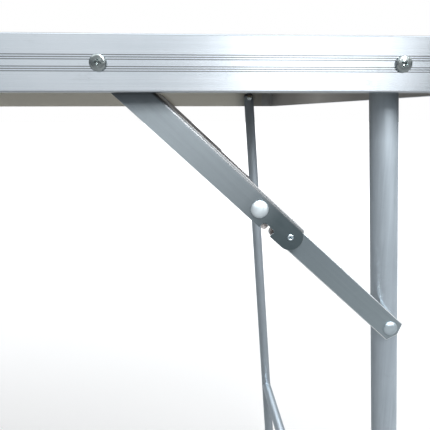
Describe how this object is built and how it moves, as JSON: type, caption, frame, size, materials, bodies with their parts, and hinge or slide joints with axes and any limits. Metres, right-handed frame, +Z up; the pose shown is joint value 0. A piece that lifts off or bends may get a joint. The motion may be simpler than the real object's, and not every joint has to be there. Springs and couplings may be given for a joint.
{
  "type": "folding table",
  "caption": "Aluminium-framed rectangular table whose leg frames fold flat under the board, held open by knee-jointed locking stays.",
  "frame": {"origin": "on the floor, under the middle of the table", "axes": "+X along the table's long side, +Y across it, +Z up through the table top"},
  "size_m": [1.8222, 0.6048, 0.7],
  "materials": {
    "rail_aluminium": "extruded, satin anodised, fine lengthwise lines",
    "board": "pale coated top, brown fibreboard core and underside",
    "grey_plastic": "moulded, fine grain",
    "black_plastic": "moulded, fine grain",
    "nylon": "natural nylon",
    "foot_rubber": "matt, slightly worn at the floor",
    "leg_tube": "satin drawn tube with a bluish grey tone",
    "stay_steel": "zinc plated sheet steel, slightly bluish",
    "bright_fasteners": "bright zinc plate"
  },
  "bodies": {
    "table_top": {"back_rail": "rail_aluminium", "brace_end_plugs": "black_plastic", "brace_screws": "bright_fasteners", "corner_pieces": "grey_plastic", "front_rail": "rail_aluminium", "left_brace": "rail_aluminium", "left_rail": "rail_aluminium", "leg_pivot_nuts": "bright_fasteners", "leg_pivot_screws": "bright_fasteners", "leg_pivot_spacers": "black_plastic", "right_brace": "rail_aluminium", "right_rail": "rail_aluminium", "stay_pivot_nuts": "bright_fasteners", "stay_pivot_screws": "bright_fasteners", "stay_pivot_washers": "nylon", "table_board": "board"},
    "left_leg_frame": {"back_left_leg": "leg_tube", "front_left_leg": "leg_tube", "left_crossbar": "leg_tube", "left_feet": "foot_rubber", "left_leg_rivets": "bright_fasteners", "left_leg_top_plugs": "black_plastic"},
    "right_leg_frame": {"back_right_leg": "leg_tube", "front_right_leg": "leg_tube", "right_crossbar": "leg_tube", "right_feet": "foot_rubber", "right_leg_rivets": "bright_fasteners", "right_leg_top_plugs": "black_plastic"},
    "back_left_lower_arm": {"back_left_knee_bush": "bright_fasteners", "back_left_lower_arm": "stay_steel"},
    "back_left_upper_arm": {"back_left_knee_rivet": "bright_fasteners", "back_left_nose_rivet": "bright_fasteners", "back_left_upper_arm": "stay_steel"},
    "back_right_lower_arm": {"back_right_knee_bush": "bright_fasteners", "back_right_lower_arm": "stay_steel"},
    "back_right_upper_arm": {"back_right_knee_rivet": "bright_fasteners", "back_right_nose_rivet": "bright_fasteners", "back_right_upper_arm": "stay_steel"},
    "front_left_lower_arm": {"front_left_knee_bush": "bright_fasteners", "front_left_lower_arm": "stay_steel"},
    "front_left_upper_arm": {"front_left_knee_rivet": "bright_fasteners", "front_left_nose_rivet": "bright_fasteners", "front_left_upper_arm": "stay_steel"},
    "front_right_lower_arm": {"front_right_knee_bush": "bright_fasteners", "front_right_lower_arm": "stay_steel"},
    "front_right_upper_arm": {"front_right_knee_rivet": "bright_fasteners", "front_right_nose_rivet": "bright_fasteners", "front_right_upper_arm": "stay_steel"}
  },
  "joints": [
    {"name": "left_leg_fold", "type": "hinge", "parent": "table_top", "child": "left_leg_frame", "pos_m": [-0.85, 0, 0.686], "axis": [0, -1, 0], "range_deg": [0, 94.4]},
    {"name": "front_left_stay_hinge", "type": "hinge", "parent": "table_top", "child": "front_left_upper_arm", "pos_m": [-0.696, -0.2893, 0.686], "axis": [0, 1, 0], "range_deg": [0, 42.8]},
    {"name": "front_left_stay_leg_pivot", "type": "hinge", "parent": "left_leg_frame", "child": "front_left_lower_arm", "pos_m": [-0.86181, -0.2849, 0.53245], "axis": [0, -1, 0], "range_deg": [0, 42.8]},
    {"name": "back_left_stay_hinge", "type": "hinge", "parent": "table_top", "child": "back_left_upper_arm", "pos_m": [-0.696, 0.2893, 0.686], "axis": [0, 1, 0], "range_deg": [0, 42.8]},
    {"name": "back_left_stay_leg_pivot", "type": "hinge", "parent": "left_leg_frame", "child": "back_left_lower_arm", "pos_m": [-0.86181, 0.2849, 0.53245], "axis": [0, -1, 0], "range_deg": [0, 42.8]},
    {"name": "right_leg_fold", "type": "hinge", "parent": "table_top", "child": "right_leg_frame", "pos_m": [0.85, 0, 0.686], "axis": [0, 1, 0], "range_deg": [0, 94.4]},
    {"name": "front_right_stay_hinge", "type": "hinge", "parent": "table_top", "child": "front_right_upper_arm", "pos_m": [0.696, -0.2893, 0.686], "axis": [0, -1, 0], "range_deg": [0, 42.8]},
    {"name": "front_right_stay_leg_pivot", "type": "hinge", "parent": "right_leg_frame", "child": "front_right_lower_arm", "pos_m": [0.86181, -0.2849, 0.53245], "axis": [0, 1, 0], "range_deg": [0, 42.8]},
    {"name": "back_right_stay_hinge", "type": "hinge", "parent": "table_top", "child": "back_right_upper_arm", "pos_m": [0.696, 0.2893, 0.686], "axis": [0, -1, 0], "range_deg": [0, 42.8]},
    {"name": "back_right_stay_leg_pivot", "type": "hinge", "parent": "right_leg_frame", "child": "back_right_lower_arm", "pos_m": [0.86181, 0.2849, 0.53245], "axis": [0, 1, 0], "range_deg": [0, 42.8]}
  ],
  "couplings": [
    {"joint": "front_left_stay_hinge", "follows": "left_leg_fold", "ratio": 0.45338},
    {"joint": "front_left_stay_leg_pivot", "follows": "left_leg_fold", "ratio": 0.45338},
    {"joint": "back_left_stay_hinge", "follows": "left_leg_fold", "ratio": 0.45338},
    {"joint": "back_left_stay_leg_pivot", "follows": "left_leg_fold", "ratio": 0.45338},
    {"joint": "front_right_stay_hinge", "follows": "right_leg_fold", "ratio": 0.45338},
    {"joint": "front_right_stay_leg_pivot", "follows": "right_leg_fold", "ratio": 0.45338},
    {"joint": "back_right_stay_hinge", "follows": "right_leg_fold", "ratio": 0.45338},
    {"joint": "back_right_stay_leg_pivot", "follows": "right_leg_fold", "ratio": 0.45338}
  ]
}
